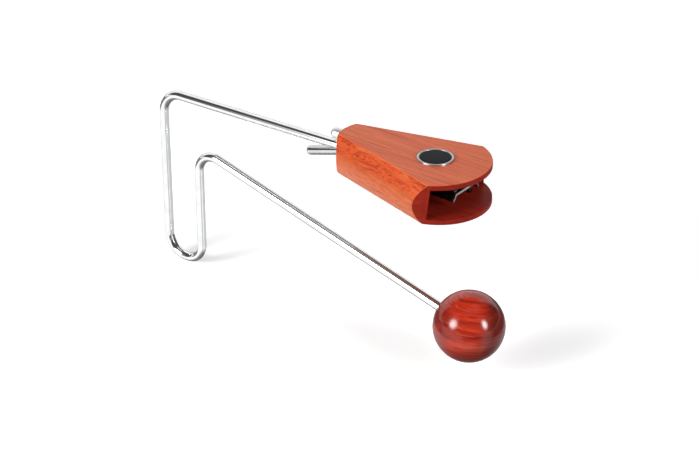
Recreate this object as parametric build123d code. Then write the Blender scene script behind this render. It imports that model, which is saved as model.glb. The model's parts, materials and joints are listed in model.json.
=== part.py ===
from build123d import *
import math
import os

# A vibraslap: one bent steel rod with a wooden ball on its lower end and a wooden rattle box
# on its upper end. Striking the ball shakes the box, and loose rivets rattle inside it.
# Frame: the origin is the middle of the hand grip, +X runs along the box towards its open mouth,
# +Y is the player's left and +Z is up. All sizes are in millimetres.

# Bent rod
rod_d = 7.0
bend_r = 12.4              # centre-line radius of every bend
grip_gap = 33.8            # between the centre lines of the two handle bars
arm_rise = 92.3            # rod axis in the box, above the grip centre
arm_slope = 1.67           # degrees that the box arm climbs on its way to the box
arm_level = 8.0            # the arm runs level for this length in front of the box
arm_set_r = 220.0          # gentle bend between the two
foot_drop = 48.8           # centre line of the handle's foot below the grip centre
ball_corner_rise = 50.25   # sharp corner between the front bar and the ball arm
ball_arm_slope = 14.4      # degrees below level
ball_reach = 257.4         # from that sharp corner to the centre of the ball
flex_from_corner = 21.0    # where the arms are taken to flex, measured from their sharp corners
flex_gap = 0.05            # running clearance of the flexing knuckles

# Ball
ball_d = 50.8
ball_bore_depth = 20.0
glue_gap = 0.5             # between the rod's end and the bottom of the hole
bore_clearance = 0.02

# Rattle box
box_start = 156.4          # rear end of the box
box_len = 117.5
box_h = 31.1
rod_above_mid = 0.5        # rod axis above the box's middle height
plate_t = 3.85
front_r = 40.9             # plan radius of the mouth end
rear_r = 30.0              # plan radius of the narrow end
rear_half = 9.8            # half width of the top face at the narrow end
taper = 15.5               # degrees between each side and the axis
side_bulge = 5.3           # how far each long side swells at mid height
wall_base = 1.25           # side walls' inner faces, inside the edges of the plates
edge_round = 0.8           # sanded edge of the plates
end_block_len = 30.0

# Badge
badge_d = 25.4
badge_ring_w = 1.9
badge_ring_h = 1.3
badge_ring_round = 0.5
badge_disc_h = 0.9
badge_gap = 0.1

# Rattle channel and its screws
sheet_t = 1.6
web_above_rod = 0.8        # top of the web above the rod axis
web_half = 12.4
flange_out = 3.1
flange_drop = 4.9
channel_setback = 13.75    # front edge of the channel behind the tip of the box
channel_len = 64.7
tab_w = 9.0
tab_t = 2.4
tab_len = 21.0
tab_corner = 3.6
tab_root = 3.0             # length of the tab inside the round rod
round_end_gap = 1.0        # the round rod stops this far behind the channel
screw_d = 3.0
screw_from_rear = (6.5, 15.0)
screw_head_d = 5.6
screw_head_h = 2.0
screw_head_round = 0.9
screw_slot_w = 0.8
screw_slot_depth = 0.8
screw_len = 7.4
screw_washer_d = 6.0
screw_washer_t = 0.5
screw_nut_af = 5.5
screw_nut_h = 2.4

# Loose rivets
rivets_per_row = 5
rivet_row_y = 9.1
rivet_pitch = 9.5
rivet_from_front = 4.2
rivet_hole_d = 3.6
rivet_d = 3.0
rivet_head_d = 5.6
rivet_head_h = 2.0
rivet_head_round = 1.6
rivet_len = 8.2            # under the head
rivet_tail_d = 4.4
rivet_tail_h = 1.6
rivet_tail_round = 0.6

# Lock screw that keeps the rod in the end block
lock_above_rod = 8.6
lock_d = 4.0
lock_head_d = 8.2
lock_head_h = 10.9
lock_len = 20.0
lock_socket_af = 3.0
lock_socket_depth = 3.0
lock_washer_d = 11.2
lock_washer_t = 1.2
lock_seat_depth = 0.5
lock_seat_play = 0.2
lock_groove_d = 5.6
lock_groove_play = 0.15

# Mounting post beside the rod
post_y = 7.0
post_below_rod = 5.17
post_slope = 16.8          # degrees downwards, away from the box
post_len = 40.6
post_tip_round = 2.6
post_neck_d = 6.0
post_shoulder = 1.6        # full diameter starts this far from the wood
post_embed = 11.0

# Worked-out places
rod_r = rod_d / 2
rear_bar_x = -grip_gap / 2
front_bar_x = grip_gap / 2
box_mid_z = arm_rise - rod_above_mid
box_top_z = box_mid_z + box_h / 2
box_low_z = box_mid_z - box_h / 2
cavity_top_z = box_top_z - plate_t
cavity_low_z = box_low_z + plate_t
box_tip_x = box_start + box_len
front_centre_x = box_tip_x - front_r
cavity_back_x = box_start + end_block_len
channel_front_x = box_tip_x - channel_setback
channel_rear_x = channel_front_x - channel_len
web_top_z = arm_rise + web_above_rod
web_low_z = web_top_z - sheet_t
ball_dir = Vector(math.cos(math.radians(ball_arm_slope)), 0, -math.sin(math.radians(ball_arm_slope)))
ball_corner = Vector(front_bar_x, 0, ball_corner_rise)
ball_centre = ball_corner + ball_dir * ball_reach
arm_dir = Vector(math.cos(math.radians(arm_slope)), 0, math.sin(math.radians(arm_slope)))
arm_set = Vector(box_start - arm_level, 0, arm_rise)
arm_corner = arm_set - arm_dir * ((arm_set.X - rear_bar_x) / arm_dir.X)
arm_hinge = arm_corner + arm_dir * flex_from_corner
ball_hinge = ball_corner + ball_dir * flex_from_corner
along_y = Vector(0, 1, 0)
spare = 120.0              # cutting shapes run this far past the box


def bar(start, end, diameter):
    """A round bar from one point to another."""
    run = end - start
    plane = Plane(origin=start, z_dir=run)
    return extrude(plane * Circle(diameter / 2), amount=run.length)


def slab(x0, x1, y0, y1, z0, z1):
    """A block between two corners."""
    block = Box(x1 - x0, y1 - y0, z1 - z0)
    return Pos((x0 + x1) / 2, (y0 + y1) / 2, (z0 + z1) / 2) * block


def across(point, radius):
    """A cylinder about an axis along Y, longer than the rod is wide."""
    plane = Plane(origin=point - along_y * rod_d, z_dir=along_y)
    return extrude(plane * Circle(radius), amount=2 * rod_d)


def hexagon_prism(plane, across_flats, height):
    return extrude(plane * RegularPolygon(across_flats / 2, 6, major_radius=False), amount=height)


# The bent rod is one bar. It is kept as three pieces so that its two long arms can flex:
# each arm has a rounded knuckle that sits in a matching hollow at the end of the handle.

def rod_handle():
    """Rear bar, foot, front bar and the three bends between the two arms."""
    path = FilletPolyline(
        arm_hinge,
        arm_corner,
        (rear_bar_x, 0, -foot_drop),
        (front_bar_x, 0, -foot_drop),
        ball_corner,
        ball_hinge,
        radius=bend_r,
    )
    start = Plane(origin=path @ 0, z_dir=path % 0)
    rod = sweep(start * Circle(rod_r), path=path)
    rod -= across(arm_hinge, rod_r + flex_gap)
    rod -= across(ball_hinge, rod_r + flex_gap)
    return rod


def knuckle(hinge, direction):
    """The rounded end of an arm, turned about its flex axis."""
    stub = bar(hinge - direction * rod_r, hinge, rod_d)
    return stub & across(hinge, rod_r)


def rod_box_arm():
    """Upper arm. Its far end is flattened into a tab that carries the rattle channel."""
    round_end_x = channel_rear_x - round_end_gap
    round_end = Vector(round_end_x, 0, arm_rise)
    path = FilletPolyline(arm_hinge, arm_set, round_end, radius=arm_set_r)
    rod = sweep(Plane(origin=path @ 0, z_dir=path % 0) * Circle(rod_r), path=path)
    rod += knuckle(arm_hinge, arm_dir)
    tab_end_x = channel_rear_x + tab_len
    tab = slab(round_end_x - tab_root, tab_end_x, -tab_w / 2, tab_w / 2, web_low_z - tab_t, web_low_z)
    tab = fillet(tab.edges().filter_by(Axis.Z), tab_corner)
    for x in screw_places():
        tab -= Pos(x, 0, web_low_z - tab_t / 2) * Cylinder(screw_d / 2 + bore_clearance, 2 * tab_t)
    groove_x0 = box_start + lock_seat_depth - lock_washer_t - lock_groove_play
    groove_x1 = box_start + lock_seat_depth + lock_groove_play
    groove = bar(Vector(groove_x0, 0, arm_rise), Vector(groove_x1, 0, arm_rise), 2 * rod_d)
    groove -= bar(Vector(groove_x0, 0, arm_rise), Vector(groove_x1, 0, arm_rise), lock_groove_d)
    return rod + tab - groove


def rod_ball_arm():
    """Lower arm. Its far end is glued into the ball."""
    end = ball_centre - ball_dir * (ball_d / 2 - ball_bore_depth + glue_gap)
    return bar(ball_hinge, end, rod_d) + knuckle(ball_hinge, ball_dir)


def ball():
    """Turned wooden ball with a blind hole for the rod."""
    mouth = ball_centre - ball_dir * ball_d
    bottom = ball_centre - ball_dir * (ball_d / 2 - ball_bore_depth)
    return Pos(*ball_centre) * Sphere(ball_d / 2) - bar(mouth, bottom, rod_d + 2 * bore_clearance)


# The box is glued up from two plates, two side walls and an end block, then shaped as one.

def side_plane(side):
    """A plane across one long side (1 left, -1 right): X points out of the box, Z along the side."""
    lean = math.radians(taper)
    along = Vector(math.cos(lean), side * math.sin(lean), 0)
    outward = Vector(-math.sin(lean), side * math.cos(lean), 0)
    return Plane(origin=Vector(box_start, side * rear_half, 0) - along * spare, x_dir=outward, z_dir=along)


def inside_of(side, bulged):
    """Everything inside one long side: up to its swollen outer face, or up to its flat inner face."""
    low = side * box_low_z
    high = side * box_top_z
    edge = 0 if bulged else -wall_base
    corners = [(edge, low), (-2 * spare, low), (-2 * spare, high), (edge, high)]
    edges = [Line(a, b) for a, b in zip(corners, corners[1:])]
    if bulged:
        edges.append(ThreePointArc(corners[3], (side_bulge, side * box_mid_z), corners[0]))
    else:
        edges.append(Line(corners[3], corners[0]))
    return extrude(side_plane(side) * make_face(edges), amount=3 * spare)


def box_outline(low_z, high_z):
    """The shaped block between two heights: round mouth, round narrow end, swollen sides."""
    rear_centre_x = box_start + rear_r
    front = Pos(front_centre_x, 0) * Circle(front_r)
    front += Pos(front_centre_x - spare / 2, 0) * Rectangle(spare, 2 * front_r)
    rear = Pos(rear_centre_x, 0) * Circle(rear_r)
    rear += Pos(rear_centre_x + spare / 2, 0) * Rectangle(spare, spare)
    block = extrude(Pos(0, 0, low_z) * (front & rear), amount=high_z - low_z)
    for side in (1, -1):
        block = block & inside_of(side, True)
    return block


def lock_hole():
    """Hole and flat seat for the lock screw, in the narrow end of the box."""
    seat_x = box_start + lock_seat_depth
    z = arm_rise + lock_above_rod
    outside = Vector(box_start - spare, 0, z)
    hole = bar(outside, Vector(seat_x + lock_len + glue_gap, 0, z), lock_d + 2 * bore_clearance)
    return hole + bar(outside, Vector(seat_x, 0, z), lock_washer_d + 2 * lock_seat_play)


def post_axis():
    slope = math.radians(post_slope)
    exit_point = Vector(box_start, post_y, arm_rise - post_below_rod)
    return exit_point, Vector(-math.cos(slope), 0, -math.sin(slope))


def post_hole():
    exit_point, out = post_axis()
    inner = exit_point - out * (post_embed + glue_gap)
    return bar(inner, exit_point + out * post_len, post_neck_d + 2 * bore_clearance)


def top_plate():
    plate = box_outline(cavity_top_z, box_top_z)
    plate = fillet(plate.edges().group_by(Axis.Z)[-1], edge_round)
    return plate - lock_hole()


def bottom_plate():
    plate = box_outline(box_low_z, cavity_low_z)
    return fillet(plate.edges().group_by(Axis.Z)[0], edge_round)


def side_wall(side):
    wall = box_outline(cavity_low_z, cavity_top_z) - inside_of(side, False)
    return wall - post_hole()


def end_block():
    block = box_outline(cavity_low_z, cavity_top_z)
    for side in (1, -1):
        block = block & inside_of(side, False)
    block = block & slab(box_start, cavity_back_x, -spare, spare, box_low_z, box_top_z)
    rod_start = Vector(box_start - spare, 0, arm_rise)
    rod_end = Vector(box_start + spare, 0, arm_rise)
    return block - bar(rod_start, rod_end, rod_d + 2 * bore_clearance) - lock_hole() - post_hole()


# The badge is a plain black disc in a polished ring, over the centre of the mouth's curve.

def badge_ring():
    place = Pos(front_centre_x, 0, box_top_z + badge_ring_h / 2)
    ring = Cylinder(badge_d / 2, badge_ring_h) - Cylinder(badge_d / 2 - badge_ring_w, badge_ring_h)
    ring = fillet(ring.edges().group_by(Axis.Z)[-1], badge_ring_round)
    return place * ring


def badge_disc():
    radius = badge_d / 2 - badge_ring_w - badge_gap
    return Pos(front_centre_x, 0, box_top_z + badge_disc_h / 2) * Cylinder(radius, badge_disc_h)


# The rattle: a folded steel channel on the rod's tab, with loose rivets through its web.

def screw_places():
    return [channel_rear_x + d for d in screw_from_rear]


def rivet_places():
    """Rivet axes, front pair first, right-hand row then left-hand row."""
    places = []
    for i in range(rivets_per_row):
        for side in (-1, 1):
            places.append((channel_front_x - rivet_from_front - i * rivet_pitch, side * rivet_row_y))
    return places


def rattle_channel():
    """Sheet folded into a shallow channel with flared flanges, open side down."""
    fold = Vector(flange_out, -flange_drop).normalized()
    inset = Vector(-fold.Y, fold.X) * -sheet_t
    outer_low = Vector(web_half + flange_out, web_above_rod - flange_drop)
    inner_low = outer_low + inset
    climb = (web_above_rod - sheet_t - inner_low.Y) / fold.Y
    inner_top = inner_low + fold * climb
    half = [(web_half, web_above_rod), outer_low, inner_low, inner_top]
    right = [(p.X, p.Y) for p in map(Vector, half)]
    left = [(-y, z) for y, z in reversed(right)]
    plane = Plane(origin=(channel_rear_x, 0, arm_rise), x_dir=(0, 1, 0), z_dir=(1, 0, 0))
    channel = extrude(plane * make_face(Polyline(*right, *left, close=True)), amount=channel_len)
    for x, y in rivet_places():
        channel -= Pos(x, y, web_top_z) * Cylinder(rivet_hole_d / 2, 4 * sheet_t)
    for x in screw_places():
        channel -= Pos(x, 0, web_top_z) * Cylinder(screw_d / 2 + bore_clearance, 4 * sheet_t)
    return channel


def rivet(x, y):
    """A loose rivet: domed head on the web, shank through an oversize hole, upset tail."""
    dome = Pos(0, 0, rivet_head_h / 2) * Cylinder(rivet_head_d / 2, rivet_head_h)
    dome = fillet(dome.edges().group_by(Axis.Z)[-1], rivet_head_round)
    shank = Pos(0, 0, -rivet_len / 2) * Cylinder(rivet_d / 2, rivet_len)
    tail = Pos(0, 0, rivet_tail_h / 2 - rivet_len) * Cylinder(rivet_tail_d / 2, rivet_tail_h)
    tail = fillet(tail.edges().group_by(Axis.Z)[0], rivet_tail_round)
    return Pos(x, y, web_top_z) * (dome + shank + tail)


def channel_screws():
    screws = []
    for x in screw_places():
        head = Pos(0, 0, screw_head_h / 2) * Cylinder(screw_head_d / 2, screw_head_h)
        head = fillet(head.edges().group_by(Axis.Z)[-1], screw_head_round)
        slot = Pos(0, 0, screw_head_h) * Box(screw_head_d, screw_slot_w, 2 * screw_slot_depth)
        shank = Pos(0, 0, -screw_len / 2) * Cylinder(screw_d / 2, screw_len)
        screws.append(Pos(x, 0, web_top_z) * (head - slot + shank))
    return Compound(children=screws)


def screw_ring(outer, height, top_z):
    """A pair of like rings round the two channel screws, for washers and nuts."""
    rings = []
    for x in screw_places():
        hole = Cylinder(screw_d / 2 + bore_clearance, 2 * height)
        rings.append(Pos(x, 0, top_z - height / 2) * (outer - hole))
    return Compound(children=rings)


def channel_washers():
    outer = Cylinder(screw_washer_d / 2, screw_washer_t)
    return screw_ring(outer, screw_washer_t, web_low_z - tab_t)


def channel_nuts():
    outer = hexagon_prism(Plane.XY.offset(-screw_nut_h / 2), screw_nut_af, screw_nut_h)
    return screw_ring(outer, screw_nut_h, web_low_z - tab_t - screw_washer_t)


# Hardware in the narrow end.

def lock_plane():
    """On the lock screw's axis at the washer's outer face, Z pointing out of the box."""
    x = box_start + lock_seat_depth - lock_washer_t
    return Plane(origin=(x, 0, arm_rise + lock_above_rod), z_dir=(-1, 0, 0))


def lock_screw():
    """Dome-headed screw. Its washer catches a groove in the rod."""
    plane = lock_plane()
    radius = lock_head_d / 2
    head = extrude(plane * Circle(radius), amount=lock_head_h - radius)
    head += plane.offset(lock_head_h - radius).location * Sphere(radius)
    socket_plane = plane.offset(lock_head_h - lock_socket_depth)
    socket = hexagon_prism(socket_plane, lock_socket_af, 2 * lock_socket_depth)
    shank = extrude(plane * Circle(lock_d / 2), amount=-(lock_washer_t + lock_len))
    return head - socket + shank


def lock_washer():
    ring = Circle(lock_washer_d / 2) - Circle(lock_d / 2 + bore_clearance)
    return extrude(lock_plane() * ring, amount=-lock_washer_t)


def mount_post():
    """Round post with a rounded tip. A thinner neck is set into the end block."""
    exit_point, out = post_axis()
    body = bar(exit_point + out * post_shoulder, exit_point + out * post_len, rod_d)
    tip = body.faces().sort_by_distance(exit_point + out * post_len)[0]
    body = fillet(tip.edges(), post_tip_round)
    return body + bar(exit_point - out * post_embed, exit_point + out * 2 * post_shoulder, post_neck_d)


pieces = {
    "rod_handle": rod_handle(),
    "rod_box_arm": rod_box_arm(),
    "rod_ball_arm": rod_ball_arm(),
    "ball": ball(),
    "top_plate": top_plate(),
    "bottom_plate": bottom_plate(),
    "left_wall": side_wall(1),
    "right_wall": side_wall(-1),
    "end_block": end_block(),
    "badge_ring": badge_ring(),
    "badge_disc": badge_disc(),
    "rattle_channel": rattle_channel(),
    "channel_screws": channel_screws(),
    "channel_washers": channel_washers(),
    "channel_nuts": channel_nuts(),
    "lock_screw": lock_screw(),
    "lock_washer": lock_washer(),
    "mount_post": mount_post(),
}
for number, (x, y) in enumerate(rivet_places(), start=1):
    pieces[f"rivet_{number:02d}"] = rivet(x, y)

os.makedirs("parts", exist_ok=True)
for name, shape in pieces.items():
    export_step(shape, f"parts/{name}.step")
    print(name, round(shape.volume, 1))
print("arm flex axis", arm_hinge, "ball arm flex axis", ball_hinge, "ball centre", ball_centre)
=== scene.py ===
import json
import math

import bmesh
import bpy
from mathutils import Matrix, Vector

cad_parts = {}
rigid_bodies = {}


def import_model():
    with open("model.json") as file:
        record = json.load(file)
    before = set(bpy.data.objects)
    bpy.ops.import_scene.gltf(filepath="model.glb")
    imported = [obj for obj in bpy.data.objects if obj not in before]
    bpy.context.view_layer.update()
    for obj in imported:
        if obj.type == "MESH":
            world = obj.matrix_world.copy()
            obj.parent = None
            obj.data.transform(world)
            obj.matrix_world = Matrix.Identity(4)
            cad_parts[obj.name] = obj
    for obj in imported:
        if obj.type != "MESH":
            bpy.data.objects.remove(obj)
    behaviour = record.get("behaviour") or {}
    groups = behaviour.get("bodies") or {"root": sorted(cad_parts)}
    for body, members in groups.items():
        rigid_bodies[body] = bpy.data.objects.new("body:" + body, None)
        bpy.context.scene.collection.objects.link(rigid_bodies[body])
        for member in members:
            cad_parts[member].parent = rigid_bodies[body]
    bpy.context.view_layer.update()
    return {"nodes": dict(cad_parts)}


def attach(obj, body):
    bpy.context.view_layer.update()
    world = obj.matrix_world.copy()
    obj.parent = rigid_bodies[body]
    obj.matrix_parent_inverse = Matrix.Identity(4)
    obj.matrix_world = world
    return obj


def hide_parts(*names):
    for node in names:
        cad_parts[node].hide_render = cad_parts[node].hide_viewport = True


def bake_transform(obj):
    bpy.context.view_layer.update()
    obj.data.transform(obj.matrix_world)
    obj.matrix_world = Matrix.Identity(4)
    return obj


# The imported model is the fixed frame that every visible piece of the vibraslap is built around.
# Its box is kept. Pieces are sized in millimetres, and places in finishes and in the studio are in
# metres.
for thing in list(bpy.data.objects):
    bpy.data.objects.remove(thing)
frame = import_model()

# The bent rod is one 7 mm steel bar, cold bent into a flat hand grip with two long arms, then
# polished and chrome plated. It is drawn as the grip and two arms, and each arm springs from it.
rod_d = 7.0
bend_r = 15.6
rear_bar_x = -16.9
front_bar_x = 16.9
foot_z = -49.4
seam_rear_z = 50.0
seam_front_z = 15.0
bend_steps = 28
bright_chrome = (0.90, 0.905, 0.915, 1.0)


def metres(points):
    """Millimetre points as metre vectors."""
    return [Vector(p) * 0.001 for p in points]


def node(tree, kind, sockets=None, **settings):
    """Adds a node. A socket given another node's output is linked, and any other value is set."""
    made = tree.nodes.new(kind)
    for name, value in settings.items():
        setattr(made, name, value)
    for key, value in (sockets or {}).items():
        if isinstance(value, bpy.types.NodeSocket):
            tree.links.new(value, made.inputs[key])
        else:
            made.inputs[key].default_value = value
    return made


def new_finish(name):
    """A new material, with its node tree and its main shader."""
    finish = bpy.data.materials.new(name)
    finish.use_nodes = True
    return finish, finish.node_tree, finish.node_tree.nodes["Principled BSDF"]


def streaks(tree, length, turn=(0, 0, 0), detail=3.0, rough=0.5, distortion=0.0):
    """Noise drawn out to the given lengths in millimetres along three turned directions."""
    place = node(tree, "ShaderNodeTexCoord").outputs["Object"]
    drawn = node(tree, "ShaderNodeMapping", {"Vector": place, "Rotation": turn}).outputs[0]
    per_metre = [1000 / v for v in length]
    scaled = node(tree, "ShaderNodeMapping", {"Vector": drawn, "Scale": per_metre}).outputs[0]
    return node(tree, "ShaderNodeTexNoise",
                {"Vector": scaled, "Scale": 1.0, "Detail": detail, "Roughness": rough,
                 "Distortion": distortion}).outputs["Fac"]


def spread(tree, value, low, high, to_low=0.0, to_high=1.0):
    """Stretches a range of values over another range, easing in and out."""
    return node(tree, "ShaderNodeMapRange",
                {"Value": value, "From Min": low, "From Max": high,
                 "To Min": to_low, "To Max": to_high},
                interpolation_type="SMOOTHSTEP").outputs[0]


def blended(tree, share, first, second):
    """Mixes two colours by a share, in the mix node's sockets for colours."""
    return node(tree, "ShaderNodeMix", {0: share, 6: first, 7: second}, data_type="RGBA").outputs[2]


def chrome_finish(name, tint, along, turn=(0, 0, 0), rough=0.035):
    """Chrome plating, polished or satin: faint haze from handling and fine hair lines."""
    finish, tree, shader = new_finish(name)
    haze = streaks(tree, (9, 9, 9), detail=4.0)
    hair = streaks(tree, along, turn=turn, detail=2.0)
    hazed_tint = [0.93 * v for v in tint[:3]] + [1.0]
    hazed = blended(tree, spread(tree, haze, 0.35, 0.7), tint, hazed_tint)
    tree.links.new(hazed, shader.inputs["Base Color"])
    tree.links.new(spread(tree, haze, 0.3, 0.75, rough, rough + 0.05), shader.inputs["Roughness"])
    relief = node(tree, "ShaderNodeBump", {"Strength": 0.04, "Distance": 0.0001, "Height": hair})
    tree.links.new(relief.outputs[0], shader.inputs["Normal"])
    shader.inputs["Metallic"].default_value = 1.0
    return finish


def bar_tree():
    """Drawn bar: rounds the corners of a line and runs a round section along it."""
    tree = bpy.data.node_groups.new("drawn_bar", "GeometryNodeTree")
    for name, kind in (("Line", "Geometry"), ("Diameter", "Float"), ("Bend radius", "Float"),
                       ("Bend steps", "Int"), ("Sides", "Int"), ("Finish", "Material")):
        tree.interface.new_socket(name, in_out="INPUT", socket_type="NodeSocket" + kind)
    tree.interface.new_socket("Bar", in_out="OUTPUT", socket_type="NodeSocketGeometry")
    given = node(tree, "NodeGroupInput").outputs
    girth = node(tree, "GeometryNodeInputNamedAttribute", {"Name": "girth"},
                 data_type="FLOAT").outputs["Attribute"]
    line = node(tree, "GeometryNodeMeshToCurve", {"Mesh": given["Line"]}).outputs[0]
    bent = node(tree, "GeometryNodeFilletCurve",
                {"Curve": line, "Count": given["Bend steps"], "Radius": given["Bend radius"]},
                mode="POLY").outputs[0]
    half = node(tree, "ShaderNodeMath", {0: given["Diameter"], 1: 0.5},
                operation="MULTIPLY").outputs[0]
    section = node(tree, "GeometryNodeCurvePrimitiveCircle",
                   {"Resolution": given["Sides"], "Radius": half}).outputs[0]
    bar = node(tree, "GeometryNodeCurveToMesh",
               {"Curve": bent, "Profile Curve": section, "Scale": girth,
                "Fill Caps": True}).outputs[0]
    whole = node(tree, "GeometryNodeRealizeInstances", {"Geometry": bar}).outputs[0]
    dressed = node(tree, "GeometryNodeSetMaterial",
                   {"Geometry": whole, "Material": given["Finish"]}).outputs[0]
    node(tree, "NodeGroupOutput", {"Bar": dressed})
    return tree


def crisp(piece, degrees=35.0):
    """Smooth faces, with the edges sharper than an angle kept sharp, and normals facing out."""
    work = bmesh.new()
    work.from_mesh(piece.data)
    bmesh.ops.remove_doubles(work, verts=work.verts, dist=1e-7)
    bmesh.ops.recalc_face_normals(work, faces=work.faces)
    for face in work.faces:
        face.smooth = True
    for edge in work.edges:
        edge.smooth = edge.calc_face_angle(0.0) < math.radians(degrees)
    work.to_mesh(piece.data)
    work.free()
    return piece


def as_piece(name, mesh):
    """Puts a mesh into the scene as an object of its own."""
    piece = bpy.data.objects.new(name, mesh)
    bpy.context.scene.collection.objects.link(piece)
    return piece


def settled(piece, step):
    """Keeps what a modifier makes of a piece as its plain mesh."""
    ready = bpy.context.evaluated_depsgraph_get()
    plain = bpy.data.meshes.new_from_object(piece.evaluated_get(ready))
    piece.modifiers.remove(step)
    piece.data = plain
    return piece


def made_by(tree, name, mesh, given):
    """Runs a node tree on a mesh and keeps the result as a plain mesh."""
    piece = as_piece(name, mesh)
    steps = piece.modifiers.new("steps", "NODES")
    steps.node_group = tree
    for item in tree.interface.items_tree:
        if item.in_out == "INPUT" and item.name in given:
            steps[item.identifier] = given[item.name]
    return settled(piece, steps)


def drawn_bar(name, points, finish, girth=None, bend=0.0, diameter=rod_d, sides=64):
    """A round bar along a line of millimetre points. Girth scales its section at each point."""
    mesh = bpy.data.meshes.new(name + "_line")
    mesh.from_pydata(metres(points), [(i, i + 1) for i in range(len(points) - 1)], [])
    thickness = mesh.attributes.new("girth", "FLOAT", "POINT").data
    thickness.foreach_set("value", girth or [1.0] * len(points))
    return crisp(made_by(drawn_bar_tree, name, mesh,
                         {"Diameter": diameter * 0.001, "Bend radius": bend * 0.001,
                          "Bend steps": bend_steps, "Sides": sides, "Finish": finish}))


drawn_bar_tree = bar_tree()
rod_chrome = chrome_finish("rod_chrome", bright_chrome, (30, 0.25, 0.25))
grip_points = [(rear_bar_x, 0, seam_rear_z), (rear_bar_x, 0, foot_z), (front_bar_x, 0, foot_z),
               (front_bar_x, 0, seam_front_z)]
grip = drawn_bar("rod_grip", grip_points, rod_chrome, bend=bend_r)
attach(grip, "handle")
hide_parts("rod_handle")

# The upper arm runs into the box. Beside the box's narrow end a groove takes the edge of the
# lock washer, and the arm springs from the rear bend when the ball is struck.
arm_z = 92.3
arm_set = Vector((148.4, 0, arm_z))
arm_slope = math.radians(1.67)
arm_dir = Vector((math.cos(arm_slope), 0, math.sin(arm_slope)))
arm_corner = arm_set - arm_dir * (arm_set.x - rear_bar_x) / arm_dir.x
arm_end_x = 194.45
rear_bend_r = 18.5
upper_steps = (21, 25, 29, 33, 38, 43, 49, 56, 64, 74, 88, 104, 122, 140)
groove_x = (155.55, 157.05)
groove_wall = 0.05
groove_girth = 0.8
climb = [arm_corner + arm_dir * d for d in upper_steps]
arm_points = [(rear_bar_x, 0, seam_rear_z), arm_corner, *climb, arm_set]
arm_girth = [1.0] * len(arm_points) + [1.0, groove_girth, groove_girth, 1.0, 1.0]
end_stops = (groove_x[0], groove_x[0] + groove_wall, groove_x[1] - groove_wall, groove_x[1],
             arm_end_x)
arm_points += [(x, 0, arm_z) for x in end_stops]
upper_arm = drawn_bar("rod_upper_arm", arm_points, rod_chrome, girth=arm_girth, bend=rear_bend_r)
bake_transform(upper_arm)
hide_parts("rod_box_arm")

# The lower arm slopes down from the front bend and is glued into the ball. It springs like the
# upper arm, most of all in the first few centimetres past the bend.
ball_corner = Vector((front_bar_x, 0, 50.25))
ball_slope = math.radians(14.4)
ball_dir = Vector((math.cos(ball_slope), 0, -math.sin(ball_slope)))
ball_reach = 257.8
short_of_centre = 5.9
lower_steps = (22, 26, 30, 35, 40, 46, 54, 64, 76, 95, 120, 150, 180, 215,
               ball_reach - short_of_centre)
ball_centre = ball_corner + ball_dir * ball_reach
lower_points = [(front_bar_x, 0, seam_front_z), ball_corner]
lower_points += [ball_corner + ball_dir * d for d in lower_steps]
lower_arm = drawn_bar("rod_lower_arm", lower_points, rod_chrome, bend=bend_r)
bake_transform(lower_arm)
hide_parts("rod_ball_arm")

# The far end of the upper arm is hammered flat into a tab with rounded corners, which carries the
# rattle inside the box. It is one with the arm and plated with it.
tab_x = (191.45, 216.45)
tab_half = 4.5
tab_corner = 3.6
tab_z = (89.1, 91.5)
tab_edge = 0.4
corner_steps = 8


def prism(name, outline, low, high):
    """A closed outline of millimetre points, drawn up from one height to another."""
    count = len(outline)
    verts = [(x, y, z) for z in (low, high) for x, y in outline]
    sides = [(i, (i + 1) % count, count + (i + 1) % count, count + i) for i in range(count)]
    ends = [list(range(count))[::-1], list(range(count, 2 * count))]
    mesh = bpy.data.meshes.new(name)
    mesh.from_pydata(metres(verts), [], sides + ends)
    return as_piece(name, mesh)


def softened(piece, width, segments=3, degrees=35.0):
    """Rounds the edges of a piece that are sharper than an angle."""
    crisp(piece)
    rounding = piece.modifiers.new("rounding", "BEVEL")
    rounding.width = width * 0.001
    rounding.segments = segments
    rounding.limit_method = "ANGLE"
    rounding.angle_limit = math.radians(degrees)
    return crisp(settled(piece, rounding), degrees)


near_x, far_x = tab_x[0] + tab_corner, tab_x[1] - tab_corner
corner_y = tab_half - tab_corner
tab_outline = []
for cx, cy, first in ((far_x, corner_y, 0), (near_x, corner_y, 90),
                      (near_x, -corner_y, 180), (far_x, -corner_y, 270)):
    for step in range(corner_steps + 1):
        turn = math.radians(first + step * 90 / corner_steps)
        tab_outline.append((cx + tab_corner * math.cos(turn), cy + tab_corner * math.sin(turn)))
tab = softened(prism("rod_tab", tab_outline, *tab_z), tab_edge)
tab.data.materials.append(rod_chrome)
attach(tab, "box_arm")

# The ball is turned from a dense red hardwood, bored for the rod, stained and dipped in gloss
# lacquer. Its growth layers lie level, so they show as curved bands round the front, and
# painted shade darkens it to both sides and below.
ball_r = 51.3 / 2
ball_bore = 20.0
bore_r = 3.52
bore_edge = 0.5
bore_ease = ((0.0, 0.7), (0.15, 0.45))
ball_steps = 96
layer_turn = (0.10, -0.06, math.radians(-34))


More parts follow.
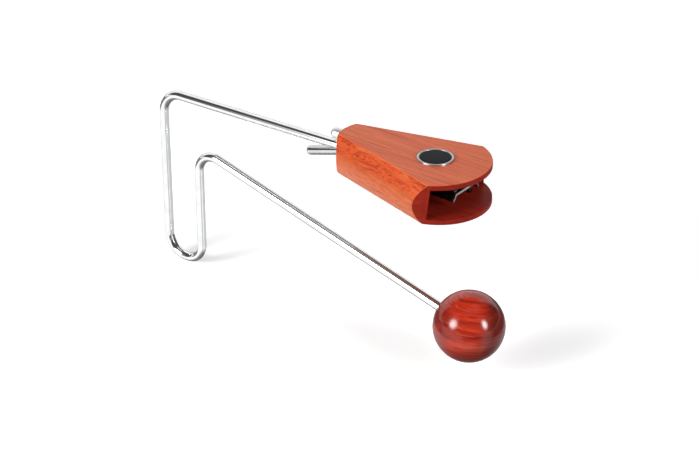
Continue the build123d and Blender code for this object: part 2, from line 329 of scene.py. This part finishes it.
def turned(name, profile, centre, axis, sides=128, closed=False):
    """Turns a profile of (radius, along) points about an axis. A zero radius closes it."""
    lean = Vector((0, 0, 1)).rotation_difference(axis).to_matrix()
    work = bmesh.new()
    rings = []
    for radius, along in profile:
        count = 1 if radius == 0 else sides
        ring = []
        for i in range(count):
            turn = 2 * math.pi * i / sides
            spot = Vector((radius * math.cos(turn), radius * math.sin(turn), along))
            ring.append(work.verts.new((lean @ spot + Vector(centre)) * 0.001))
        rings.append(ring)
    for one, two in zip(rings, rings[1:] + ([rings[0]] if closed else [])):
        for i in range(sides):
            j = (i + 1) % sides
            corners = [one[i % len(one)], one[j % len(one)], two[j % len(two)], two[i % len(two)]]
            work.faces.new(list(dict.fromkeys(corners)))
    mesh = bpy.data.meshes.new(name)
    work.to_mesh(mesh)
    work.free()
    return as_piece(name, mesh)


def seen(red, green, blue):
    """A shader colour from the 0 to 255 values that the eye sees."""
    return (*[((v / 255 + 0.055) / 1.055) ** 2.4 for v in (red, green, blue)], 1.0)


def reach_along(tree, way, direction):
    """How far a way runs along a direction."""
    return node(tree, "ShaderNodeVectorMath", {0: way, 1: direction},
                operation="DOT_PRODUCT").outputs["Value"]


bore_angle = math.asin((bore_r + bore_edge) / ball_r)
profile = [(0, ball_bore - ball_r), (bore_r, ball_bore - ball_r)]
profile += [(bore_r + out, down - ball_r) for out, down in bore_ease]
for step in range(ball_steps):
    turn = bore_angle + (math.pi - bore_angle) * step / ball_steps
    profile.append((ball_r * math.sin(turn), -ball_r * math.cos(turn)))
profile.append((0, ball_r))
ball = crisp(turned("ball_turned", profile, ball_centre, ball_dir), degrees=50)

dark_layer, red_layer = seen(134, 24, 15), seen(194, 52, 28)
pale_line, dark_line, dark_fleck = seen(214, 88, 48), seen(86, 10, 9), seen(78, 9, 8)
right_painted_shade, left_painted_shade, low_painted_shade = seen(72, 13, 9), seen(92, 17, 11), seen(96, 15, 10)
ball_gloss, tree, shader = new_finish("ball_gloss_wood")
bands = streaks(tree, (60, 26, 5.5), turn=layer_turn, detail=2.0, distortion=0.9)
lines = streaks(tree, (34, 7, 1.3), turn=layer_turn, detail=5.0, rough=0.62, distortion=0.35)
fibre = streaks(tree, (7, 0.7, 0.45), turn=layer_turn, detail=3.0)
banded = blended(tree, spread(tree, bands, 0.33, 0.68), dark_layer, red_layer)
layered = blended(tree, spread(tree, lines, 0.52, 0.74, 0.0, 0.8), banded, pale_line)
veined = blended(tree, spread(tree, lines, 0.46, 0.30, 0.0, 0.75), layered, dark_line)
flecked = blended(tree, spread(tree, fibre, 0.60, 0.74, 0.0, 0.45), veined, dark_fleck)
place = node(tree, "ShaderNodeTexCoord").outputs["Object"]
from_middle = node(tree, "ShaderNodeVectorMath", {0: place, 1: ball_centre * 0.001},
                   operation="SUBTRACT").outputs[0]
across = reach_along(tree, from_middle, (0.82, 0.56, -0.08))
below = reach_along(tree, from_middle, (0.45, -0.25, -0.86))
# Painted shade: the colour darkens to the ball's right, to its left and below.
right_shaded = blended(tree, spread(tree, across, 0.004, 0.017, 0.0, 0.76), flecked, right_painted_shade)
sides_shaded = blended(tree, spread(tree, across, -0.010, -0.020, 0.0, 0.55), right_shaded, left_painted_shade)
ball_shaded = blended(tree, spread(tree, below, 0.009, 0.022, 0.0, 0.55), sides_shaded, low_painted_shade)
tree.links.new(ball_shaded, shader.inputs["Base Color"])
tree.links.new(spread(tree, lines, 0.3, 0.7, 0.40, 0.32), shader.inputs["Roughness"])
relief = node(tree, "ShaderNodeBump", {"Strength": 0.05, "Distance": 0.0002, "Height": fibre})
tree.links.new(relief.outputs[0], shader.inputs["Normal"])
shader.inputs["Specular IOR Level"].default_value = 0.05
shader.inputs["Coat Weight"].default_value = 0.80
shader.inputs["Coat Roughness"].default_value = 0.12
ball.data.materials.append(ball_gloss)
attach(ball, "ball_arm")
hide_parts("ball")

# The box is glued up from two plates, two side walls and an end block of red-brown hardwood,
# then sawn to a wedge, rounded along its sides and sanded as one. The wide end is left open.
box_start = 156.4
box_tip = 273.9
box_mid_z = 91.8
box_half_h = 15.55
plate_t = 3.85
front_r = 40.9
mouth_tuck = 2.9
mouth_skew = -2.0
rear_r = 30.0
rear_centre = Vector((box_start + rear_r, 0))
rear_half = 9.8
taper = math.radians(15.5)
side_bulge = 5.3
wall_base = 1.25
bulge_r = (box_half_h ** 2 + side_bulge ** 2) / (2 * side_bulge)
edge_round = 0.8
plate_layers, round_steps = 5, 6
wall_layers = 24
side_steps = 30
rear_steps, mouth_steps = 24, 72
wall_rear_steps, wall_mouth_steps = 6, 10
broad_kind, side_kind, end_kind = range(3)
side_dir = Vector((math.cos(taper), math.sin(taper)))
side_out = Vector((-math.sin(taper), math.cos(taper)))


def swell(height):
    """How far a side stands out at a height above the box's middle."""
    return math.sqrt(bulge_r ** 2 - height ** 2) - (bulge_r - side_bulge)


def mouth_curve(height):
    """Centre and radius of the mouth's sawn curve, fuller and a little askew at the top."""
    share = (height + box_half_h) / (2 * box_half_h)
    radius = front_r - mouth_tuck * (1 - share)
    return Vector((box_tip - radius, mouth_skew * share)), radius


def side_ends(height, out, inset, side):
    """Where one side's line, moved out, meets the curves of the narrow end and the mouth."""
    start = Vector((box_start, rear_half)) + side_out * out
    mouth_at, mouth_r = mouth_curve(height)
    ends = []
    mouth_centre = Vector((mouth_at.x, mouth_at.y * side))
    for centre, radius, pick in ((rear_centre, rear_r, -1), (mouth_centre, mouth_r, 1)):
        away = start - centre
        radius -= inset
        half = away.dot(side_dir)
        run = -half + pick * math.sqrt(half ** 2 - away.length_squared + radius ** 2)
        spot = start + side_dir * run
        ends.append(Vector((spot.x, spot.y * side)))
    return ends


def arc(centre, start, end, steps, behind=False):
    """Points round a centre from one point to another, either in front of it or round behind it."""
    turns = [math.atan2(p.y - centre.y, p.x - centre.x) for p in (start, end)]
    if behind:
        turns = [t % (2 * math.pi) for t in turns]
    radius = (start - centre).length
    sweep = [turns[0] + (turns[1] - turns[0]) * i / steps for i in range(steps)]
    return [(centre.x + radius * math.cos(t), centre.y + radius * math.sin(t)) for t in sweep]


def straight(first, last):
    """Points along one side, from the first up to but not at the last."""
    return [tuple(first.lerp(last, i / side_steps)) for i in range(side_steps)]


def whole_outline(height, inset):
    """Plan of the whole box at a height: narrow end, right side, mouth, left side."""
    rear_left, front_left = side_ends(height, swell(height) - inset, inset, 1)
    rear_right, front_right = side_ends(height, swell(height) - inset, inset, -1)
    return (arc(rear_centre, rear_left, rear_right, rear_steps, behind=True)
            + straight(rear_right, front_right)
            + arc(mouth_curve(height)[0], front_right, front_left, mouth_steps)
            + straight(front_left, rear_left))


def wall_outline(height, side):
    """Plan of one side wall at a height, between its flat inner face and its swollen outer face."""
    rear_in, front_in = side_ends(height, -wall_base, 0.0, side)
    rear_out, front_out = side_ends(height, swell(height), 0.0, side)
    plan = (straight(rear_in, front_in)
            + arc(mouth_curve(height)[0], front_in, front_out, wall_mouth_steps)
            + straight(front_out, rear_out)
            + arc(rear_centre, rear_out, rear_in, wall_rear_steps, behind=True))
    return plan if side > 0 else plan[::-1]


def stacked(name, layers):
    """Joins outlines at rising heights into one closed solid."""
    count = len(layers[0][1])
    verts = [(x, y, z) for z, plan in layers for x, y in plan]
    faces = [list(range(count))[::-1], [len(verts) - count + i for i in range(count)]]
    for level in range(len(layers) - 1):
        base = level * count
        for i in range(count):
            j = (i + 1) % count
            faces.append((base + i, base + j, base + count + j, base + count + i))
    mesh = bpy.data.meshes.new(name)
    mesh.from_pydata(metres(verts), [], faces)
    return as_piece(name, mesh)


def plate(name, low, high):
    """A plate between two heights from the middle, with its outer edge sanded round."""
    flip = 1 if high > 0 else -1
    inner, outer = (low, high) if high > 0 else (high, low)
    layers = []
    for step in range(plate_layers + 1):
        layers.append((inner + (outer - flip * edge_round - inner) * step / plate_layers, 0.0))
    for step in range(1, round_steps + 1):
        turn = math.radians(90 / round_steps * step)
        height = outer - flip * edge_round * (1 - math.sin(turn))
        layers.append((height, edge_round * (1 - math.cos(turn))))
    layers.append((outer, 2 * edge_round))
    stack = [(box_mid_z + h, whole_outline(h, inset)) for h, inset in layers[::flip]]
    return stacked(name, stack)


def dressed_wood(piece, face_kind, finishes):
    """Gives each face the finish of its kind. The finishes are in the order of the kinds."""
    for finish in finishes:
        piece.data.materials.append(finish)
    for face in piece.data.polygons:
        face.material_index = face_kind(face.center * 1000, face.normal)


def reckon(tree, how, first, second):
    """Sums, products and the like of two values."""
    return node(tree, "ShaderNodeMath", {0: first, 1: second}, operation=how).outputs[0]


def wood_finish(name, pale, mid, dark, rough, shine, figure=None):
    """Lacquered red hardwood: broad colour bands, fine straight lines and short dark pores."""
    finish, tree, shader = new_finish(name)
    broad = streaks(tree, (150, 9, 7), detail=2.0, distortion=0.6)
    lines = streaks(tree, (55, 1.5, 1.3), detail=5.0, rough=0.6, distortion=0.2)
    pores = streaks(tree, (6.5, 0.55, 0.5), detail=2.0)
    base = blended(tree, spread(tree, broad, 0.30, 0.70), mid, pale)
    lined = blended(tree, spread(tree, lines, 0.50, 0.28, 0.0, 0.55), base, dark)
    light = blended(tree, spread(tree, lines, 0.54, 0.74, 0.0, 0.45), lined, pale)
    if figure:
        light = figure(tree, light)
    flecked = blended(tree, spread(tree, pores, 0.60, 0.72, 0.0, 0.5), light, dark)
    tree.links.new(flecked, shader.inputs["Base Color"])
    roughness = spread(tree, lines, 0.3, 0.7, rough + 0.08, rough - 0.04)
    tree.links.new(roughness, shader.inputs["Roughness"])
    grained = node(tree, "ShaderNodeBump",
                   {"Strength": 0.08, "Distance": 0.0003, "Height": lines}).outputs[0]
    relief = node(tree, "ShaderNodeBump",
                  {"Strength": 0.12, "Distance": 0.0002, "Height": pores,
                   "Normal": grained}).outputs[0]
    tree.links.new(relief, shader.inputs["Normal"])
    shader.inputs["Specular IOR Level"].default_value = shine
    return finish


def ripple(tree, base):
    """Curly figure that darkens and flames the side grain, most of all under the top edge."""
    place = node(tree, "ShaderNodeTexCoord").outputs["Object"]
    height = node(tree, "ShaderNodeSeparateXYZ", {"Vector": place}).outputs["Z"]
    near_top = spread(tree, height, (box_mid_z + 0.5) / 1000, (box_mid_z + 9) / 1000)
    low_painted_light = spread(tree, height, (box_mid_z + 1) / 1000, (box_mid_z - 10) / 1000)
    flame = streaks(tree, (34, 14, 4.0), turn=(0, -0.06, 0), detail=3.0, distortion=0.9)
    curl = streaks(tree, (15, 6, 3.4), turn=(0, 0.20, 0), detail=2.0, rough=0.5, distortion=1.2)
    sawn = streaks(tree, (32, 3.0, 1.3), turn=(0, 0.03, 0), detail=4.0, distortion=0.5)
    warm = blended(tree, near_top, base, seen(213, 82, 30))
    # Painted light: the lower part of the side is paler, as light thrown up from below.
    pale = blended(tree, low_painted_light, warm, seen(220, 117, 74))
    flamed = blended(tree, spread(tree, flame, 0.52, 0.70, 0.0, 0.5), pale, seen(222, 119, 68))
    off_ridge = reckon(tree, "ABSOLUTE", reckon(tree, "SUBTRACT", curl, 0.5), 0.0)
    ridges = reckon(tree, "MULTIPLY", spread(tree, off_ridge, 0.060, 0.015),
                    spread(tree, flame, 0.64, 0.46))
    strokes = reckon(tree, "MULTIPLY", ridges, spread(tree, near_top, 0.0, 1.0, 0.10, 0.8))
    curly = blended(tree, strokes, flamed, seen(140, 38, 14))
    return blended(tree, spread(tree, sawn, 0.46, 0.30, 0.0, 0.75), curly, seen(168, 60, 28))


broad_wood = wood_finish("box_broad_grain", seen(236, 118, 74), seen(222, 101, 58),
                         seen(160, 60, 35), rough=0.38, shine=0.28)
side_wood = wood_finish("box_side_grain", seen(208, 103, 58), seen(200, 91, 48),
                        seen(160, 57, 26), rough=0.36, shine=0.25, figure=ripple)
end_wood = wood_finish("box_end_grain", seen(150, 40, 26), seen(134, 31, 20),
                       seen(90, 16, 11), rough=0.45, shine=0.10)
box_finishes = (broad_wood, side_wood, end_wood)


def at_mouth(centre, normal):
    """True for a face of the mouth's sawn curve, which points away from the curve's centre."""
    middle, radius = mouth_curve(centre.z - box_mid_z)
    out = Vector(centre.xy) - middle
    square_on = out.normalized().dot(Vector(normal.xy).normalized()) > 0.97
    return out.x > 0 and out.length > radius - 1.2 and square_on


def side_face(centre, normal):
    """Side grain for faces that point out to the side, and end grain for both ends and inside."""
    outward = Vector(normal.xy).normalized().y * math.copysign(1, centre.y)
    return side_kind if outward > 0.6 and not at_mouth(centre, normal) else end_kind


def plate_face(centre, normal):
    """Broad grain for the top and underside, end grain inside, and the edge as a side face."""
    if abs(normal.z) > 0.75:
        return broad_kind if abs(centre.z - box_mid_z) > box_half_h - 1 else end_kind
    return side_face(centre, normal)


inner_h = box_half_h - plate_t
lower_plate = crisp(plate("box_lower_plate", -box_half_h, -inner_h))
upper_plate = crisp(plate("box_upper_plate", inner_h, box_half_h))
for piece, stands_for in ((lower_plate, "bottom_plate"), (upper_plate, "top_plate")):
    dressed_wood(piece, plate_face, box_finishes)
    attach(piece, "box_arm")
    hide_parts(stands_for)
heights = [inner_h * (2 * step / wall_layers - 1) for step in range(wall_layers + 1)]
for side, label in ((1, "left"), (-1, "right")):
    layers = [(box_mid_z + h, wall_outline(h, side)) for h in heights]
    wall = crisp(stacked(f"box_{label}_side", layers))
    dressed_wood(wall, side_face, box_finishes)
    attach(wall, "box_arm")
    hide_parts(f"{label}_wall")

# The end block fills the narrow end between the plates. It is bored for the rod, the lock screw
# and the post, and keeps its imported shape.
frame["nodes"]["end_block"].material_slots[0].material = end_wood

# The badge is a plain black enamel disc in a pressed ring of satin chrome, glued near the centre
# of the mouth's curve. Its face is bare.
badge_at = (234.3, -0.5, box_mid_z + box_half_h)
badge_axis = Vector((0, 0, 1))
ring_in, ring_out, ring_high = 11.1, 12.7, 1.22
disc_r, disc_high = 11.05, 1.21
ring_profile = [(ring_in, 0.0), (ring_out, 0.0), (ring_out, 0.75), (12.64, 0.98), (12.48, 1.15),
                (12.25, ring_high), (11.6, ring_high), (11.35, 1.18), (11.17, 1.08), (ring_in, 0.9)]
badge_ring = turned("badge_ring_pressed", ring_profile, badge_at, badge_axis, closed=True)
crisp(badge_ring, degrees=50)
badge_chrome = chrome_finish("badge_chrome", (0.50, 0.50, 0.51, 1.0), (3, 3, 3), rough=0.30)
badge_ring.data.materials.append(badge_chrome)
disc_profile = [(0, 0.0), (disc_r, 0.0), (disc_r, 0.95), (10.9, 1.07), (9.5, 1.12), (6.0, 1.17),
                (3.0, 1.2), (0, disc_high)]
badge_disc = crisp(turned("badge_disc_enamel", disc_profile, badge_at, badge_axis), degrees=50)
enamel, tree, shader = new_finish("badge_black_enamel")
dust = streaks(tree, (1.2, 1.2, 1.2), detail=4.0, rough=0.6)
dusted = blended(tree, spread(tree, dust, 0.45, 0.75), seen(18, 18, 19), seen(34, 34, 35))
tree.links.new(dusted, shader.inputs["Base Color"])
tree.links.new(spread(tree, dust, 0.3, 0.75, 0.34, 0.46), shader.inputs["Roughness"])
shader.inputs["Specular IOR Level"].default_value = 0.06
badge_disc.data.materials.append(enamel)
for piece, stands_for, slot in ((badge_ring, "badge_ring", "badge_chrome"),
                                (badge_disc, "badge_disc", "badge_black")):
    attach(piece, "box_arm")
    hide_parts(stands_for)

# The rattle is a channel folded from 1.6 mm steel sheet and drawn near black. Its sheared front
# edge is bright on the near half, and painted shade dulls it on the far half, as in the photograph.
# Two zinc-plated screws, washers and nuts fix it to the rod's tab.
rattle_steel, tree, shader = new_finish("rattle_black_steel")
facing_way = node(tree, "ShaderNodeNewGeometry").outputs["Normal"]
forward = node(tree, "ShaderNodeSeparateXYZ", {"Vector": facing_way}).outputs["X"]
scale_marks = streaks(tree, (6, 6, 6), detail=5.0, rough=0.65)
rolled = streaks(tree, (40, 0.4, 0.4), detail=2.0)
black = blended(tree, spread(tree, scale_marks, 0.4, 0.7),
                (0.030, 0.029, 0.030, 1), (0.075, 0.072, 0.072, 1))
place = node(tree, "ShaderNodeTexCoord").outputs["Object"]
side_y = node(tree, "ShaderNodeSeparateXYZ", {"Vector": place}).outputs["Y"]
# Painted shade: the bright sheared edge fades to dull on the far half, deeper in the box.
far_half_shade = spread(tree, side_y, 0.001, 0.006, 1.0, 0.12)
sheared_and_shade = reckon(tree, "MULTIPLY", spread(tree, forward, 0.6, 0.8), far_half_shade)
tree.links.new(blended(tree, sheared_and_shade, black, (0.78, 0.76, 0.75, 1)), shader.inputs["Base Color"])
tree.links.new(spread(tree, rolled, 0.3, 0.7, 0.32, 0.5), shader.inputs["Roughness"])
shader.inputs["Metallic"].default_value = 1.0
frame["nodes"]["rattle_channel"].material_slots[0].material = rattle_steel

zinc, tree, shader = new_finish("fastener_zinc")
bloom = streaks(tree, (1.6, 1.6, 1.6), detail=4.0, rough=0.6)
bloomed = blended(tree, bloom, (0.55, 0.56, 0.58, 1), (0.72, 0.72, 0.73, 1))
tree.links.new(bloomed, shader.inputs["Base Color"])
tree.links.new(spread(tree, bloom, 0.3, 0.7, 0.25, 0.42), shader.inputs["Roughness"])
shader.inputs["Metallic"].default_value = 1.0
for name in ("channel_screws", "channel_washers", "channel_nuts"):
    frame["nodes"][name].material_slots[0].material = zinc

# The loose rivets hang by their domed heads in oversize holes along both edges of the channel.
# Their tails are upset under the sheet, so they hop and buzz but can't fall out. Each is drawn as
# a bar whose girth is the radius at each height above the sheet.
web_top = 93.1
rivet_head = [(1.97, 0.6), (1.85, 1.15), (1.6, 1.75), (1.2, 2.25), (0.7, 2.6), (0.02, 2.8),
              (0.0, 2.8)]
rivet_tail = [(-0.02, 1.5), (-6.58, 1.5), (-6.6, 2.2), (-7.7, 2.2), (-8.0, 2.05), (-8.2, 1.6)]
rivet_line = rivet_head + rivet_tail
front_rivet_x = 255.95
rivet_pitch = 9.5
rivet_row_y = 9.1
rivet_count = 10
rivet_black, tree, shader = new_finish("rivet_steel")
worn = streaks(tree, (2.2, 2.2, 2.2), detail=4.0, rough=0.6)
worn_black = blended(tree, worn, (0.022, 0.0215, 0.021, 1), (0.060, 0.059, 0.058, 1))
tree.links.new(worn_black, shader.inputs["Base Color"])
tree.links.new(spread(tree, worn, 0.3, 0.7, 0.45, 0.6), shader.inputs["Roughness"])
shader.inputs["Metallic"].default_value = 1.0
for number in range(rivet_count):
    x = front_rivet_x - rivet_pitch * (number // 2)
    y = rivet_row_y * (1 if number % 2 else -1)
    body = f"rivet_{number + 1:02d}"
    rivet = drawn_bar(body + "_steel", [(x, y, web_top + up) for up, r in rivet_line], rivet_black,
                      girth=[r for up, r in rivet_line], diameter=2.0, sides=32)
    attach(rivet, body)
    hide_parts(body)

# The dome-headed lock screw and its washer catch the groove in the rod and hold it in the block.
# The post beside the rod is a short chromed stub for a holder's clamp.
post_lean = 0.293
end_chrome = chrome_finish("end_chrome", (0.70, 0.70, 0.71, 1.0), (12, 0.3, 0.3),
                           turn=(0, post_lean, 0))
frame["nodes"]["mount_post"].material_slots[0].material = end_chrome
end_satin = chrome_finish("end_satin", bright_chrome, (2, 2, 2), rough=0.32)
for name in ("lock_screw", "lock_washer"):
    frame["nodes"][name].material_slots[0].material = end_satin

# The camera stands at the photograph's place, which was solved from the rod's straight runs, the
# badge's circle and the ball's outline.
camera_place = (0.88938, -0.94885, 0.67622)
turn, rise, roll = (math.radians(v) for v in (37.503, 28.557, 0.287))
away = Vector((math.sin(turn) * math.cos(rise), -math.cos(turn) * math.cos(rise), math.sin(rise)))
right = Vector((math.cos(turn), math.sin(turn), 0))
over = away.cross(right)
rolled_right = right * math.cos(roll) + over * math.sin(roll)
rolled_over = over * math.cos(roll) - right * math.sin(roll)
lens = bpy.data.cameras.new("photo_camera")
lens.sensor_width = 36.0
lens.lens = 97.357
camera = bpy.data.objects.new("photo_camera", lens)
bpy.context.scene.collection.objects.link(camera)
aim = Matrix((rolled_right, rolled_over, away)).transposed().to_4x4()
camera.matrix_world = Matrix.Translation(camera_place) @ aim
bpy.context.scene.camera = camera
bpy.context.scene.view_settings.view_transform = "Standard"

# Two oval soft boxes stand either side of the camera. Their cloth is brightest at a core in front
# of the bulb and dims towards its edge.
middle = Vector((0.13, 0.0, 0.03))
left_box = Vector((-0.330, -0.868, 0.371))
right_box = Vector((0.924, -0.002, 0.382))
box_distance = 2.2
soft_boxes = (("left", left_box, 1.9, 2.1, 20.5, 10.8, 0.38),
              ("right", right_box, 1.3, 2.1, 9.8, 18.0, 0.33))
for label, towards, wide, tall, watts, core, reach in soft_boxes:
    lamp = bpy.data.lights.new(f"soft_box_{label}", "AREA")
    lamp.shape = "ELLIPSE"
    lamp.size = wide
    lamp.size_y = tall
    lamp.energy = watts
    lamp.use_nodes = True
    tree = lamp.node_tree
    cloth = node(tree, "ShaderNodeNewGeometry").outputs["Parametric"]
    off_core = node(tree, "ShaderNodeVectorMath", {0: cloth, 1: (0.5, 0.5, 0.0)},
                    operation="DISTANCE").outputs["Value"]
    hot = spread(tree, off_core, 0.05, reach, core, 0.0)
    dim = spread(tree, off_core, 0.36, 0.50, 0.25, 0.0)
    emission = tree.nodes["Emission"].inputs
    emission["Color"].default_value = (1, 1, 1, 1)
    tree.links.new(reckon(tree, "ADD", hot, dim), emission["Strength"])
    stand = bpy.data.objects.new(f"soft_box_{label}", lamp)
    bpy.context.scene.collection.objects.link(stand)
    stand.location = middle + towards.normalized() * box_distance
    stand.rotation_euler = (-towards).to_track_quat("-Z", "Y").to_euler()
    stand.visible_camera = False

# The floor is white to the camera, more so far off, and keeps the shadow. It throws mid grey light
# back at the object, and metal and gloss see through it to the surround.
floor_z = (foot_z - rod_d / 2 - 0.2) / 1000
floor_half = 6
white_paint = (0.92, 0.92, 0.92, 1)
grey_paint = (0.38, 0.38, 0.38, 1)


def ray_kinds(tree):
    """1 for a ray from the camera, and 1 for a ray from metal, gloss or glass."""
    rays = node(tree, "ShaderNodeLightPath").outputs
    mirrored = reckon(tree, "MAXIMUM", rays["Is Glossy Ray"], rays["Is Transmission Ray"])
    return rays["Is Camera Ray"], mirrored


floor_mesh = bpy.data.meshes.new("studio_floor")
quarters = ((-1, -1), (1, -1), (1, 1), (-1, 1))
corners = [(x * floor_half, y * floor_half, floor_z) for x, y in quarters]
floor_mesh.from_pydata(corners, [], [(0, 1, 2, 3)])
floor = as_piece("studio_floor", floor_mesh)
floor_paint = bpy.data.materials.new("studio_floor_paint")
floor_paint.use_nodes = True
tree = floor_paint.node_tree
tree.nodes.clear()
from_camera, mirrored = ray_kinds(tree)
place = node(tree, "ShaderNodeTexCoord").outputs["Object"]
far_off = node(tree, "ShaderNodeVectorMath", {0: place, 1: middle},
               operation="DISTANCE").outputs["Value"]
floor_glow = reckon(tree, "MULTIPLY", from_camera, spread(tree, far_off, 0.3, 1.2, 0.45, 1.0))
floor_colour = blended(tree, from_camera, grey_paint, white_paint)
matt = node(tree, "ShaderNodeBsdfDiffuse", {"Color": floor_colour}).outputs[0]
glow = node(tree, "ShaderNodeEmission", {"Color": (1, 1, 1, 1), "Strength": floor_glow}).outputs[0]
lit = node(tree, "ShaderNodeAddShader", {0: matt, 1: glow}).outputs[0]
clear = node(tree, "ShaderNodeBsdfTransparent").outputs[0]
both = node(tree, "ShaderNodeMixShader", {0: mirrored, 1: lit, 2: clear}).outputs[0]
node(tree, "ShaderNodeOutputMaterial", {"Surface": both})
floor_mesh.materials.append(floor_paint)

# The surround shows metal and gloss white cards behind, a dark room in front and overhead, and a
# pale table below with painted light toward the soft boxes and painted shadow straight under the
# instrument. Matt faces get a plain fill, and the camera sees white.
back = Vector((-0.677, 0.736, 0))
rear_left = Vector((-1, 0, 0))
surround = bpy.data.worlds.new("studio_surround")
surround.use_nodes = True
bpy.context.scene.world = surround
tree = surround.node_tree
tree.nodes.clear()
way = node(tree, "ShaderNodeTexCoord").outputs["Generated"]
up = node(tree, "ShaderNodeSeparateXYZ", {"Vector": way}).outputs["Z"]
flat_way = node(tree, "ShaderNodeVectorMath", {0: way, 1: (1, 1, 0)},
                operation="MULTIPLY").outputs[0]
level_way = node(tree, "ShaderNodeVectorMath", {0: flat_way}, operation="NORMALIZE").outputs[0]


def facing(direction):
    """How nearly a way in the surround points along a level direction."""
    return reach_along(tree, level_way, Vector((direction.x, direction.y, 0)).normalized())


def between(share, first, second):
    """Mixes two values by a share, in the mix node's sockets for plain values."""
    return node(tree, "ShaderNodeMix", {0: share, 2: first, 3: second},
                data_type="FLOAT").outputs[0]


card_top = reckon(tree, "ADD", spread(tree, facing(back), 0.58, 0.66, 0.02, 0.73),
                  spread(tree, facing(rear_left), 0.75, 0.92, 0.0, 0.11))
cards = spread(tree, reckon(tree, "SUBTRACT", up, card_top), -0.03, 0.03, 1.0, 0.075)
above = reckon(tree, "ADD", cards, spread(tree, up, 0.88, 0.95, 0.0, 0.40))
# Painted light: the table is brighter toward each soft box.
table_shine = reckon(tree, "MAXIMUM", spread(tree, facing(left_box), 0.15, 0.60),
                     spread(tree, facing(right_box), 0.94, 0.985, 0.0, 0.7))
# Painted shadow: straight down, under the instrument, the table is darker.
table_light_and_shade = reckon(tree, "MULTIPLY", spread(tree, table_shine, 0.0, 1.0, 0.63, 1.14),
                   spread(tree, up, -0.92, -0.58, 0.22, 1.0))
lamp_side = reckon(tree, "MAXIMUM", spread(tree, facing(left_box), 0.75, 0.92),
                   spread(tree, facing(right_box), 0.90, 0.97))
table_end = reckon(tree, "MULTIPLY", spread(tree, up, -0.44, -0.30),
                   reckon(tree, "SUBTRACT", 1.0, lamp_side))
table = reckon(tree, "MULTIPLY", table_light_and_shade, spread(tree, table_end, 0.0, 1.0, 1.0, 0.18))
shown = between(spread(tree, up, -0.05, 0.0, 1.0, 0.0), above, table)
fill = spread(tree, up, 0.70, 0.76, 0.25, 0.04)
from_camera, mirrored = ray_kinds(tree)
strength = between(from_camera, between(mirrored, fill, shown), 1.0)
backdrop = node(tree, "ShaderNodeBackground",
                {"Color": (1, 1, 1, 1), "Strength": strength}).outputs[0]
node(tree, "ShaderNodeOutputWorld", {"Surface": backdrop})
